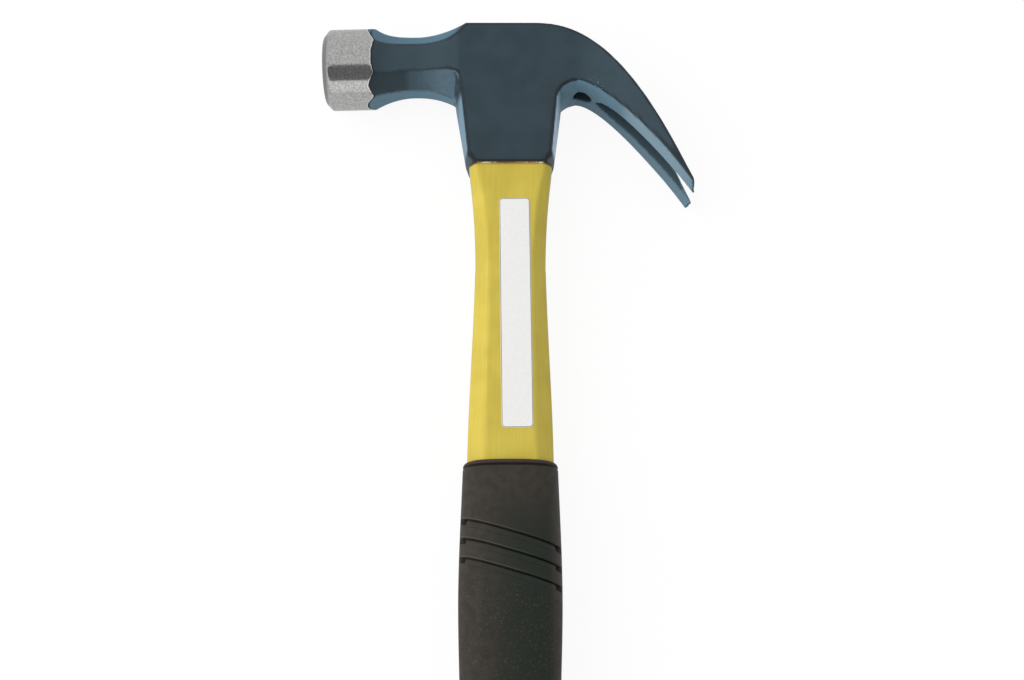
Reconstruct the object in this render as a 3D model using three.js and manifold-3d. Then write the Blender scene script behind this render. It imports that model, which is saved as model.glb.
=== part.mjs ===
// Claw hammer lying on its side: a forged head with an octagonal neck, a turned poll and curved
// nail claws, on a fibreglass handle that is bonded in the eye and carries a moulded rubber grip.
// Millimetres. x runs from the poll to the claws, y from the butt to the crown, z across.
// While the pieces are made, x = 0 is the handle's axis, y = 0 the head's lower rim, z = 0 mid-plane.
import * as THREE from "three";
import { mergeVertices } from "three/addons/utils/BufferGeometryUtils.js";
import Module from "manifold-3d";

const wasm = await Module();
wasm.setup();

// Poll: the turned striking end
const pollDiameter = 27.8;
const pollReach = 64.5; // handle's axis to the striking face
const pollHeight = 38.6; // head's lower rim to the poll's axis, at the flare
const pollDroop = 1.6; // degrees that the poll's axis falls towards the striking face
const pollChamferLength = 2.3;
const pollChamferDepth = 2.6;
const faceFlatRadius = 8;
const faceCrown = 0.3; // how far the flat middle of the face stands proud
const turnedLength = 24; // how far the lathe cut runs from the face
const turnedSides = 72;

// Neck: an octagon that flares both ways from its narrowest place
const neckX = -32.5;
const neckHalfWidth = 8.4;
const neckTop = 49.5;
const neckBottom = 29;
const neckTopFlat = 3.2; // half width of the top and bottom facets
const neckSideTop = 44;
const neckSideBottom = 34.2;
const neckCheekShare = 0.75; // share of the way to the cheeks at which the neck is as wide as they are
const flareX = -46.5; // where the flare's ridges reach the poll's diameter
const flareTopAngle = 67.5; // ridges of the octagon where the flare ends, degrees from mid-height
const flareSideAngle = 20;
const flareLowSideAngle = -30;
const flareBottomAngle = -67.5;
const flareSharpness = 2; // power by which the ridges move out to the poll's diameter
const flareTopSharpness = 3.5; // the same for the top ridges
const flareSideSharpness = 4; // power by which the side ridges move out across

// Cheeks, crown and the boss round the eye
const cheekHalfWidth = 10.4;
const crownHeight = 51.6;
const crownBackX = -15.5; // corner where the crown drops to the neck
const crownFrontX = 9; // where the crown starts to bend into the claws
const edgeSoftness = 0.6; // bevel along the crown and the claws' outer edges
const edgeRadius = 0.7;
const bossBackWidth = 14.1; // axis to the back wall's edge at the lower rim
const bossFrontWidth = 13.7;
const bossDraft = 1.5; // how far the parting line stands out of the cheeks' edges, under the claws
const bossBackDraft = 2.2; // under the neck
const bossRimDraft = 0.8; // at the lower rim
const bossEdgeRadius = 1.2;
const bossRimBevel = 0.5; // bevel of the cheeks at the lower rim
const bossRimWallBevel = 1.7; // bevel of the front and back walls there
const bossRimBevelHeight = 2.2;
const bossShelfX = -17.7; // where the back wall reaches the neck's lower side facet
const bossShelfHeight = 33.6;
const bossShelfRadius = 3; // of the corner in which the back wall ends there
const bossKeelHeight = 22.9; // where the neck's bottom facet meets the back wall
const bossKeelHalfWidth = 2.4;

// Claws: curved wedges, split by a bevelled nail slot
const clawRootX = 22.8;
const clawRootHeight = 29.4;
const clawRootRadius = 7;
const clawTipX = 61.7;
const clawTipHeight = -9.4;
const clawTipHalfWidth = 12.7;
const clawSpreadStart = 0.15; // shares of the claw's length between which it widens
const clawSpreadEnd = 0.75;
const clawTipThickness = 0.5;
const clawOuterLead = 20; // length of the outer curve's tangent at the crown
const clawOuterTrail = 48;
const clawOuterAngle = 66.7; // degrees below the horizontal at the tip
const clawInnerLead = 7.5;
const clawInnerTrail = 24.3;
const clawInnerAngle = 56.1;
const clawTipCorner = 7.8; // how much narrower each tip is where its slanting end stops
const clawTipCornerShare = 0.024; // share of the claw's length that the slanting end takes
const clawTipCornerPower = 1.3; // one is a straight end, more rounds its outer corner
const clawEdgeRadius = 1.7; // of the claws' lower edges
const draftFade = 1.5; // power by which the draft fades out towards the tips
const slotStart = 0.29; // shares of the claw's length
const slotThroat = 0.48;
const slotRoundShare = 0.26; // share of the slot's length that its rounded start takes
const slotTipHalfWidth = 3.9;
const slotThroatHalfWidth = 1;
const slotBevelHalfWidth = 4.2;
const slotPointHalfWidth = 0.05; // half width of its first point
const slotRunOut = 1.5; // how far the cut passes the outer and the inner side
const pocketDiameter = 6.2;
const pocketDepth = 3.6;
const pocketPointDepth = 1.2; // drilled cone at its end
const pocketX = 24.7;

// Eye and the adhesive that fills it
const eyeHalfLength = 11.8; // at the lower rim, along x
const eyeHalfWidth = 7.2;
const eyeFlare = 0.5; // how much wider the eye is at the crown, each side
const eyeFlatShare = 0.72; // share of the length that the eye's long sides take
const eyeEndShare = 0.4; // share of the width that its flat ends take
const eyeCornerRadius = 1.5;
const tenonHalfLength = 10.2;
const tenonHalfWidth = 5.7;
const tenonTopGap = 1; // crown to the tenon's end
const adhesiveTopGap = 1.5;
const adhesiveBead = 0.4; // thickness of the bead squeezed out below the rim
const clearance = 0.3;

// Handle: octagonal fibreglass, waisted below the head
const handleHalfThickness = 8.8;
const handleSideFlat = 3.6; // half height of the side facets
const handleShoulderSideFlat = 6; // the same at the head, where the slanting facets run out
const handleShoulderHalfWidth = 13.9;
const handleWaistHalfWidth = 11.65;
const handleWaistY = -37;
const shoulderSharpness = 1.9; // power by which the handle widens up to the head
const gripEndSpread = [-0.15, 1.1]; // ends of the smooth step by which it widens down to the grip
const handleGripHalfWidth = 13.9;
const handleTopFlat = 11.6; // half width of the front facet at the head
const handleWaistFlat = 7.3;
const handleGripFlat = 8.6;
const handleEdgeFall = 2.2; // least width of the slanting facets
const handleEdgeRadius = 1.6;
const tangHalfWidth = 11.5;
const tangHalfThickness = 7.5;
const tangTaperStart = 4; // below the grip's rim
const tangTaperLength = 22;
const tangEndGap = 12; // solid rubber under the tang

// Grip: moulded rubber sleeve with three slanting grooves
const gripTop = -101.6;
const overallLength = 330.3;
const gripRimHalfWidth = 15.2;
const gripRimHalfThickness = 10.9;
const gripRimChamfer = 1.3;
const gripShoulderHalfWidth = 16.3;
const gripShoulderHalfThickness = 12.7;
const gripShoulderY = -141;
const gripWaistHalfWidth = 15.2;
const gripWaistHalfThickness = 12.4;
const gripWaistY = -192;
const gripButtHalfWidth = 17.8;
const gripButtHalfThickness = 13.9;
const gripButtY = -262;
const gripButtRounding = 11;
const gripButtTuck = 8.2; // how far the sides come in round the butt's end
const gripMouthDepth = 2; // how far the mouth runs on above the taper
const gripSquareness = 2.7; // exponent of the section's curve: 2 is an ellipse
const grooveCount = 3;
const grooveFirstY = -125.5; // upper groove, on the grip's middle line
const groovePitch = 6.05;
const grooveTilt = 16.4; // degrees
const grooveWidth = 2.6;
const grooveDepth = 1.1;
const grooveWallShare = 0.2; // share of the width taken by the steep upper wall
const grooveFloorShare = 0.25;

// Label stuck on the handle's front facet
const labelWidth = 10.2;
const labelLength = 78.3;
const labelThickness = 0.2;
const labelTop = -13;
const labelOffset = 1.8;
const labelLean = 0.7; // degrees
const labelCornerRadius = 1.3;

const headPaint = new THREE.MeshStandardMaterial({ color: 0x41525b, roughness: 0.45, metalness: 0.1 });
const fibreglass = new THREE.MeshStandardMaterial({ color: 0xd2bf45, roughness: 0.4, metalness: 0 });
const adhesive = new THREE.MeshStandardMaterial({ color: 0xa8763e, roughness: 0.5, metalness: 0 });
const rubber = new THREE.MeshStandardMaterial({ color: 0x3d3933, roughness: 0.85, metalness: 0 });
const labelFilm = new THREE.MeshStandardMaterial({ color: 0xf2f2ee, roughness: 0.35, metalness: 0 });

const vector = (x, y, z) => new THREE.Vector3(x, y, z);
const lerp = THREE.MathUtils.lerp;
const degrees = THREE.MathUtils.degToRad;
const steps = (count) => Array.from({ length: count + 1 }, (_, i) => i / count);

// Surface through a list of rings with equal numbers of points. Open ends are closed by fans;
// a hollow sleeve has its last ring joined to its first instead.
function loft(rings, hollow = false) {
  const count = rings[0].length;
  const points = rings.flat();
  const faces = [];
  const bands = hollow ? rings.length : rings.length - 1;
  for (let j = 0; j < bands; j++) {
    const next = ((j + 1) % rings.length) * count;
    for (let i = 0; i < count; i++) {
      const k = (i + 1) % count;
      faces.push(j * count + i, j * count + k, next + i);
      faces.push(j * count + k, next + k, next + i);
    }
  }
  if (!hollow) {
    const last = (rings.length - 1) * count;
    points.push(middle(rings[0]), middle(rings.at(-1)));
    for (let i = 0; i < count; i++) {
      const k = (i + 1) % count;
      faces.push(points.length - 2, k, i);
      faces.push(points.length - 1, last + i, last + k);
    }
  }
  const geometry = new THREE.BufferGeometry().setFromPoints(points);
  geometry.setIndex(faces);
  return geometry;
}

function middle(ring) {
  const sum = ring.reduce((total, point) => total.add(point), vector(0, 0, 0));
  return sum.divideScalar(ring.length);
}

// Closed three.js geometry as a solid that can be joined and cut
function solid(geometry) {
  const bare = geometry.clone();
  bare.deleteAttribute("normal");
  bare.deleteAttribute("uv");
  const merged = mergeVertices(bare, 1e-4);
  const triVerts = new Uint32Array(merged.index.array);
  const vertProperties = merged.attributes.position.array;
  return new wasm.Manifold(new wasm.Mesh({ numProp: 3, vertProperties, triVerts }));
}

function geometryOf(body) {
  const mesh = body.getMesh();
  const geometry = new THREE.BufferGeometry();
  geometry.setAttribute("position", new THREE.BufferAttribute(mesh.vertProperties, 3));
  geometry.setIndex(new THREE.BufferAttribute(mesh.triVerts, 1));
  geometry.computeVertexNormals();
  return geometry;
}

// Ring whose corners are replaced by short bends that start `radius` before each corner
function softened(corners, radius, bendSteps) {
  return corners.flatMap((corner, i) => {
    const before = corners.at(i - 1);
    const after = corners[(i + 1) % corners.length];
    const start = stepTowards(corner, before, radius);
    const end = stepTowards(corner, after, radius);
    return new THREE.QuadraticBezierCurve3(start, corner, end).getPoints(bendSteps);
  });
}

function stepTowards(from, to, distance) {
  const share = Math.min(0.4, distance / Math.max(from.distanceTo(to), 1e-6));
  return from.clone().lerp(to, share);
}

// Four corners on the near side, from the top edge down, mirrored to a whole ring
function mirroredRing(near, radius, bendSteps = 2) {
  const far = near.map((point) => vector(point.x, point.y, -point.z)).reverse();
  return softened([...near, ...far], radius, bendSteps);
}

// Head: poll, neck and cheeks

const pollRadius = pollDiameter / 2;

function ridge(angle) {
  const turn = degrees(angle);
  return { y: pollHeight + pollRadius * Math.sin(turn), z: pollRadius * Math.cos(turn) };
}

const neckCorners = [
  { y: neckTop, z: neckTopFlat },
  { y: neckSideTop, z: neckHalfWidth },
  { y: neckSideBottom, z: neckHalfWidth },
  { y: neckBottom, z: neckTopFlat },
];
const pollCorners = [
  ridge(flareTopAngle),
  ridge(flareSideAngle),
  ridge(flareLowSideAngle),
  ridge(flareBottomAngle),
];
const cheekCorners = [
  { y: crownHeight, z: cheekHalfWidth - edgeSoftness },
  { y: crownHeight - edgeSoftness, z: cheekHalfWidth },
  { y: bossShelfHeight, z: cheekHalfWidth },
  { y: bossKeelHeight, z: bossKeelHalfWidth },
];
// How each corner moves out with the distance from the narrowest place: by a power, or eased at both ends
const power = (exponent) => (share) => share ** exponent;
const eased = (share) => THREE.MathUtils.smoothstep(share, 0, neckCheekShare);
const cheekSpreads = [
  { y: power(2.15), z: power(1.7) },
  { y: power(3.8), z: eased },
  { y: power(2), z: eased },
  { y: power(2.3), z: power(2) },
];
const flareSpreads = [
  { y: power(flareTopSharpness), z: power(flareTopSharpness) },
  { y: power(flareSharpness), z: power(flareSideSharpness) },
  { y: power(flareSharpness), z: power(flareSideSharpness) },
  { y: power(flareSharpness), z: power(flareSharpness) },
];

function neckRing(x) {
  const towardsPoll = x < neckX;
  const goal = towardsPoll ? pollCorners : cheekCorners;
  const reach = towardsPoll ? flareX : crownBackX;
  const share = (x - neckX) / (reach - neckX);
  const near = neckCorners.map((corner, i) => {
    const spread = towardsPoll ? flareSpreads[i] : cheekSpreads[i];
    const y = lerp(corner.y, goal[i].y, spread.y(share));
    const z = lerp(corner.z, goal[i].z, spread.z(share));
    return vector(x, y, z);
  });
  return mirroredRing(near, edgeRadius);
}

// The flare is carried a little past the poll's diameter, so that the lathe cut trims it
const flareShare = 1.3;

function pollAndNeckRings() {
  const flareEnd = neckX + (flareX - neckX) * flareShare;
  const faceRing = neckRing(flareEnd).map((point) => vector(-pollReach - 1, point.y, point.z));
  const flare = steps(14).map((share) => neckRing(lerp(flareEnd, neckX, share)));
  const shoulder = steps(14).map((share) => neckRing(lerp(neckX, crownBackX, share)));
  return [faceRing, ...flare, ...shoulder.slice(1)];
}

// Claws: pairs of points on the outer and the inner curve, joined into drafted sections

function unit(angle) {
  return new THREE.Vector2(Math.cos(degrees(angle)), -Math.sin(degrees(angle)));
}

const outerTip = new THREE.Vector2(clawTipX, clawTipHeight);
const innerTip = outerTip.clone().addScaledVector(unit(clawInnerAngle + 90), clawTipThickness);
const outerCurve = new THREE.CubicBezierCurve(
  new THREE.Vector2(crownFrontX, crownHeight),
  new THREE.Vector2(crownFrontX + clawOuterLead, crownHeight),
  outerTip.clone().addScaledVector(unit(clawOuterAngle), -clawOuterTrail),
  outerTip,
);
const innerCurve = new THREE.CurvePath();
innerCurve.add(
  new THREE.LineCurve(
    new THREE.Vector2(crownFrontX, clawRootHeight),
    new THREE.Vector2(clawRootX, clawRootHeight),
  ),
);
innerCurve.add(
  new THREE.CubicBezierCurve(
    new THREE.Vector2(clawRootX, clawRootHeight),
    new THREE.Vector2(clawRootX + clawInnerLead, clawRootHeight),
    innerTip.clone().addScaledVector(unit(clawInnerAngle), -clawInnerTrail),
    innerTip,
  ),
);

function clawHalfWidth(share) {
  const spread = THREE.MathUtils.smoothstep(share, clawSpreadStart, clawSpreadEnd);
  const full = lerp(cheekHalfWidth, clawTipHalfWidth, spread);
  const intoCorner = Math.max(0, share - 1 + clawTipCornerShare) / clawTipCornerShare;
  return full - clawTipCorner * Math.min(1, intoCorner) ** clawTipCornerPower;
}

function clawRing(share) {
  const outer = outerCurve.getPointAt(share);
  const inner = innerCurve.getPointAt(share);
  const across = outer.clone().sub(inner).normalize();
  const thickness = outer.distanceTo(inner);
  const bevel = Math.min(edgeSoftness, thickness / 4);
  const draft = bossDraft * (1 - share) ** draftFade;
  const halfWidth = clawHalfWidth(share);
  const shoulder = outer.clone().addScaledVector(across, -bevel);
  const keel = inner.clone().addScaledVector(across, -draft);
  const near = [
    vector(outer.x, outer.y, halfWidth - bevel),
    vector(shoulder.x, shoulder.y, halfWidth),
    vector(inner.x, inner.y, halfWidth),
    vector(keel.x, keel.y, bossKeelHalfWidth),
  ];
  return mirroredRing(near, clawEdgeRadius);
}

function clawRings() {
  const along = steps(34).map((share) => share * (1 - clawTipCornerShare));
  const tip = steps(5).slice(1).map((step) => 1 - clawTipCornerShare * (1 - step));
  return [...along, ...tip].map(clawRing);
}

// Boss round the eye: level rings from the lower rim up into the cheeks

// Draft of a wall that has `full` of it at the height `top` and less towards the rim
function wallDraft(full, y, top) {
  return lerp(bossRimDraft, full, THREE.MathUtils.clamp(y / top, 0, 1));
}

function bossRing(y) {
  const filletCentre = clawRootHeight - clawRootRadius;
  const rise = y - filletCentre;
  const frontWall = clawRootX - clawRootRadius;
  const arc = (radius) => clawRootX - Math.sqrt(Math.max(0, radius ** 2 - rise ** 2));
  const frontLean = (filletCentre - y) * ((frontWall - bossFrontWidth) / filletCentre);
  const frontDraft = wallDraft(bossDraft, y, filletCentre);
  const front = rise > 0 ? arc(clawRootRadius) : frontWall - frontLean;
  const frontKeel = rise > 0 ? arc(clawRootRadius - bossDraft) : front + frontDraft;
  const shelfRise = Math.max(0, y - bossShelfHeight + bossShelfRadius);
  const shelfTurn = bossShelfRadius - Math.sqrt(Math.max(0, bossShelfRadius ** 2 - shelfRise ** 2));
  const backWall = lerp(-bossBackWidth, bossShelfX, y / bossShelfHeight);
  const back = backWall - shelfTurn;
  const backKeel = back - wallDraft(bossBackDraft, y, bossKeelHeight);
  const bevelShare = Math.max(0, 1 - y / bossRimBevelHeight);
  const halfWidth = cheekHalfWidth - bossRimBevel * bevelShare;
  const wallBevel = bossRimWallBevel * bevelShare;
  const near = [
    vector(backKeel + wallBevel, y, bossKeelHalfWidth),
    vector(back + wallBevel, y, halfWidth),
    vector(front - wallBevel, y, halfWidth),
    vector(frontKeel - wallBevel, y, bossKeelHalfWidth),
  ];
  return mirroredRing(near, bossEdgeRadius);
}

function bossRings() {
  const filletCentre = clawRootHeight - clawRootRadius;
  const walls = [0, bossRimBevelHeight / 2, bossRimBevelHeight, filletCentre / 2];
  const fillet = steps(8).map((share) => filletCentre + clawRootRadius * Math.sin((share * Math.PI) / 2));
  const shelfStart = bossShelfHeight - bossShelfRadius;
  const shelf = steps(5).map((share) => shelfStart + bossShelfRadius * Math.sin((share * Math.PI) / 2));
  return [...walls, ...fillet, ...shelf].sort((a, b) => a - b).map(bossRing);
}

// Everything that the lathe leaves: the poll's profile, opening out wide behind the turned length
function turnedEnvelope() {
  const faceRim = pollRadius - pollChamferDepth;
  const clear = 200;
  const profile = [
    [0, 0],
    [faceFlatRadius, 0],
    [faceRim, faceCrown],
    [pollRadius, faceCrown + pollChamferLength],
    [pollRadius, turnedLength],
    [clear, turnedLength],
    [clear, clear],
    [0, clear],
  ].map(([radius, along]) => new THREE.Vector2(radius, along));
  const lathe = new THREE.LatheGeometry(profile, turnedSides);
  lathe.rotateZ(-Math.PI / 2);
  lathe.translate(-pollReach - flareX, 0, 0);
  lathe.rotateZ(degrees(pollDroop));
  lathe.translate(flareX, pollHeight, 0);
  return lathe;
}

// Nail slot: a bevelled wedge that starts in a point on the inner side and opens to the tips
function slotRing(share) {
  const onClaw = Math.min(1, share);
  const outer = outerCurve.getPointAt(onClaw);
  const inner = innerCurve.getPointAt(onClaw);
  const past = unit(clawOuterAngle).multiplyScalar((share - onClaw) * outerCurve.getLength());
  const across = outer.clone().sub(inner).normalize();
  const keel = -bossDraft * (1 - onClaw) ** draftFade;
  const thickness = outer.distanceTo(inner) - keel;
  const fromRound = 1 - Math.min(1, (onClaw - slotStart) / (1 - slotStart) / slotRoundShare);
  const bevelWidth = slotBevelHalfWidth * Math.sqrt(1 - fromRound ** 2) + slotPointHalfWidth;
  const depthShare = Math.min(1, (onClaw - slotStart) / (slotThroat - slotStart));
  const opening = Math.max(0, (onClaw - slotThroat) / (1 - slotThroat));
  const throughWidth = lerp(slotThroatHalfWidth, slotTipHalfWidth, opening);
  const floorWidth = Math.min(bevelWidth, throughWidth);
  const low = inner.clone().addScaledVector(across, keel - slotRunOut).add(past);
  const high = inner.clone().addScaledVector(across, keel + depthShare * (thickness + slotRunOut)).add(past);
  const corners = [
    [low, bevelWidth],
    [low, -bevelWidth],
    [high, -floorWidth],
    [high, floorWidth],
  ];
  return corners.map(([point, halfWidth]) => vector(point.x, point.y, halfWidth));
}

function slotCutter() {
  const pastTips = 1.06;
  return loft(steps(16).map((step) => slotRing(lerp(slotStart, pastTips, step))));
}

// Round blind pocket with a drilled cone end, on the mid-plane under the claws' root
function pocketCutter() {
  const radius = pocketDiameter / 2;
  const profile = [
    [0, -pocketDiameter],
    [radius, -pocketDiameter],
    [radius, pocketDepth],
    [0, pocketDepth + pocketPointDepth],
  ].map(([r, y]) => new THREE.Vector2(r, y));
  const cutter = new THREE.LatheGeometry(profile, 40);
  cutter.translate(pocketX, clawRootHeight - bossDraft, 0);
  return cutter;
}

// Eye, tenon and adhesive share one kind of section: a long octagon with softened corners

function ovalRing(y, halfLength, halfWidth) {
  const near = [
    vector(-halfLength, y, halfWidth * eyeEndShare),
    vector(-halfLength * eyeFlatShare, y, halfWidth),
    vector(halfLength * eyeFlatShare, y, halfWidth),
    vector(halfLength, y, halfWidth * eyeEndShare),
  ];
  return mirroredRing(near, eyeCornerRadius, 3);
}

function eyeRing(y, inset = 0) {
  const flare = (eyeFlare * y) / crownHeight;
  return ovalRing(y, eyeHalfLength + flare - inset, eyeHalfWidth + flare - inset);
}

function tenonRing(y, outset = 0) {
  return ovalRing(y, tenonHalfLength + outset, tenonHalfWidth + outset);
}

function makeHead() {
  const body = solid(loft([...pollAndNeckRings(), ...clawRings()]));
  const boss = solid(loft(bossRings()));
  const eye = solid(loft([eyeRing(-2), eyeRing(crownHeight + 2)]));
  const head = body
    .add(boss)
    .intersect(solid(turnedEnvelope()))
    .subtract(solid(slotCutter()))
    .subtract(solid(pocketCutter()))
    .subtract(eye);
  return geometryOf(head);
}

// Adhesive: a sleeve between tenon and eye, with a thin bead below the rim

const beadTop = -clearance;
const beadBottom = beadTop - adhesiveBead;
const shoulderY = beadBottom - clearance;

function makeAdhesive() {
  const sleeveTop = crownHeight - adhesiveTopGap;
  const beadEdge = handleRing(shoulderY, 0).map((point) => vector(point.x, beadBottom, point.z));
  const beadEdgeTop = beadEdge.map((point) => vector(point.x, beadTop, point.z));
  const rings = [
    beadEdge,
    beadEdgeTop,
    eyeRing(beadTop, clearance),
    eyeRing(sleeveTop, clearance),
    tenonRing(sleeveTop, clearance),
    tenonRing(beadBottom, clearance),
  ];
  return loft(rings, true);
}

// Handle

const waistSpan = shoulderY - handleWaistY;
const lowerSpan = handleWaistY - gripTop;

function handleHalfWidth(y) {
  const above = y > handleWaistY;
  const goal = above ? handleShoulderHalfWidth : handleGripHalfWidth;
  const share = Math.min(1, Math.abs(y - handleWaistY) / (above ? waistSpan : lowerSpan));
  const spread = above ? share ** shoulderSharpness : THREE.MathUtils.smoothstep(share, ...gripEndSpread);
  return lerp(handleWaistHalfWidth, goal, spread);
}

function handleFlat(y) {
  const above = y > handleWaistY;
  const goal = above ? handleTopFlat : handleGripFlat;
  const share = Math.min(1, Math.abs(y - handleWaistY) / (above ? waistSpan : lowerSpan));
  return lerp(handleWaistFlat, goal, share ** 2);
}

function handleSide(y) {
  const share = Math.min(1, Math.max(0, y - handleWaistY) / waistSpan);
  return lerp(handleSideFlat, handleShoulderSideFlat, share ** 2);
}

const gripBottom = crownHeight - overallLength;
const tangEnd = gripBottom + tangEndGap;

function handleRing(y, outset) {
  const taper = THREE.MathUtils.smoothstep(gripTop - y, tangTaperStart, tangTaperLength);
  const halfWidth = lerp(handleHalfWidth(Math.max(y, gripTop)), tangHalfWidth, taper) + outset;
  const halfThickness = lerp(handleHalfThickness, tangHalfThickness, taper) + outset;
  const flat = Math.min(handleFlat(Math.max(y, gripTop)), halfWidth - handleEdgeFall);
  const near = [
    vector(-halfWidth, y, handleSide(y)),
    vector(-flat, y, halfThickness),
    vector(flat, y, halfThickness),
    vector(halfWidth, y, handleSide(y)),
  ];
  return mirroredRing(near, handleEdgeRadius, 3);
}

function makeHandle() {
  const exposed = steps(18).map((share) => lerp(gripTop, shoulderY, share));
  const tang = steps(6).map((share) => gripTop - tangTaperLength * (1 - share)).slice(0, -1);
  const body = [tangEnd, ...tang, ...exposed].map((y) => handleRing(y, 0));
  const tenonTop = crownHeight - tenonTopGap;
  return loft([...body, tenonRing(shoulderY), tenonRing(tenonTop)]);
}

// Grip

function through(stations, y, field) {
  const points = stations.map((station) => new THREE.Vector2(station.y, station[field]));
  const curve = new THREE.SplineCurve(points);
  let low = 0;
  let high = 1;
  for (let i = 0; i < 24; i++) {
    const mid = (low + high) / 2;
    if (curve.getPoint(mid).x > y) low = mid;
    else high = mid;
  }
  return curve.getPoint(low).y;
}

const gripStations = [
  { y: gripTop, width: gripRimHalfWidth, thickness: gripRimHalfThickness },
  { y: gripShoulderY, width: gripShoulderHalfWidth, thickness: gripShoulderHalfThickness },
  { y: gripWaistY, width: gripWaistHalfWidth, thickness: gripWaistHalfThickness },
  { y: gripButtY, width: gripButtHalfWidth, thickness: gripButtHalfThickness },
  { y: gripBottom, width: gripButtHalfWidth, thickness: gripButtHalfThickness },
];

const gripPoints = 40;

// Ring of the grip on a plane that leans by `slope` along x
function gripRing(y, slope, inset) {
  return Array.from({ length: gripPoints }, (_, i) => {
    const turn = (-2 * Math.PI * i) / gripPoints;
    const power = 2 / gripSquareness;
    const across = Math.sign(Math.cos(turn)) * Math.abs(Math.cos(turn)) ** power;
    const up = Math.sign(Math.sin(turn)) * Math.abs(Math.sin(turn)) ** power;
    const guess = y - slope * across * gripShoulderHalfWidth;
    const halfWidth = through(gripStations, guess, "width") - inset;
    const halfThickness = through(gripStations, guess, "thickness") - inset;
    return vector(across * halfWidth, y - slope * across * halfWidth, up * halfThickness);
  });
}

// Places down the grip's middle line, each with its ring's slope and its depth below the surface
function gripProfile() {
  const slope = Math.tan(degrees(grooveTilt));
  const rim = [
    { y: gripTop, slope: 0, inset: gripRimChamfer },
    { y: gripTop - gripRimChamfer, slope: 0, inset: 0 },
  ];
  const lead = steps(5).slice(1).map((share) => ({
    y: lerp(gripTop - gripRimChamfer, grooveFirstY + groovePitch / 2, share),
    slope: slope * share,
    inset: 0,
  }));
  const grooves = Array.from({ length: grooveCount }, (_, i) => {
    const top = grooveFirstY - i * groovePitch + grooveWidth / 2;
    return [
      { y: top, slope, inset: 0 },
      { y: top - grooveWidth * grooveWallShare, slope, inset: grooveDepth },
      { y: top - grooveWidth * (grooveWallShare + grooveFloorShare), slope, inset: grooveDepth },
      { y: top - grooveWidth, slope, inset: 0 },
    ];
  }).flat();
  const groovesEnd = grooveFirstY - grooveCount * groovePitch;
  const bodyEnd = gripBottom + gripButtRounding;
  const body = steps(16).map((share) => ({
    y: lerp(groovesEnd, bodyEnd, share),
    slope: slope * Math.max(0, 1 - share * 4),
    inset: 0,
  }));
  const butt = steps(6).slice(1).map((share) => {
    const turn = (share * Math.PI) / 2;
    return {
      y: bodyEnd - gripButtRounding * Math.sin(turn),
      slope: 0,
      inset: gripButtTuck * (1 - Math.cos(turn)),
    };
  });
  return [...rim, ...lead, ...grooves, ...body, ...butt];
}

function makeGrip() {
  const outside = gripProfile().map((place) => gripRing(place.y, place.slope, place.inset));
  const body = solid(loft(outside.reverse()));
  const cavityTop = gripTop + gripMouthDepth;
  const tang = steps(6).map((share) => gripTop - tangTaperLength * (1 - share));
  const bottomRing = handleRing(tangEnd, clearance).map((p) => vector(p.x, tangEnd - clearance, p.z));
  const cavity = loft([bottomRing, ...[...tang, cavityTop].map((y) => handleRing(y, clearance))]);
  return geometryOf(body.subtract(solid(cavity)));
}

// Label

function makeLabel() {
  const halfWidth = labelWidth / 2;
  const halfLength = labelLength / 2;
  const radius = labelCornerRadius;
  const outline = new THREE.Shape();
  outline.moveTo(-halfWidth + radius, -halfLength);
  outline.lineTo(halfWidth - radius, -halfLength);
  outline.absarc(halfWidth - radius, -halfLength + radius, radius, -Math.PI / 2, 0);
  outline.lineTo(halfWidth, halfLength - radius);
  outline.absarc(halfWidth - radius, halfLength - radius, radius, 0, Math.PI / 2);
  outline.lineTo(-halfWidth + radius, halfLength);
  outline.absarc(-halfWidth + radius, halfLength - radius, radius, Math.PI / 2, Math.PI);
  outline.lineTo(-halfWidth, -halfLength + radius);
  outline.absarc(-halfWidth + radius, -halfLength + radius, radius, Math.PI, Math.PI * 1.5);
  return new THREE.ExtrudeGeometry(outline, { depth: labelThickness, bevelEnabled: false, curveSegments: 5 });
}

function piece(name, geometry, material) {
  const mesh = new THREE.Mesh(geometry, material);
  mesh.name = name;
  return mesh;
}

const hammer = new THREE.Group();
hammer.add(piece("head", makeHead(), headPaint));
hammer.add(piece("handle", makeHandle(), fibreglass));
hammer.add(piece("eye_epoxy", makeAdhesive(), adhesive));
hammer.add(piece("grip", makeGrip(), rubber));

const label = piece("label", makeLabel(), labelFilm);
label.position.set(labelOffset, labelTop - labelLength / 2, handleHalfThickness);
label.rotation.z = degrees(labelLean);
hammer.add(label);

// Lay the hammer on the floor, with the middle of its box over the origin
const box = new THREE.Box3().setFromObject(hammer);
const centre = box.getCenter(new THREE.Vector3());
hammer.position.set(-centre.x, -centre.y, -box.min.z);

export default hammer;
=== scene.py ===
# Claw hammer lying on its side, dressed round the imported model
import math

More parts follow.
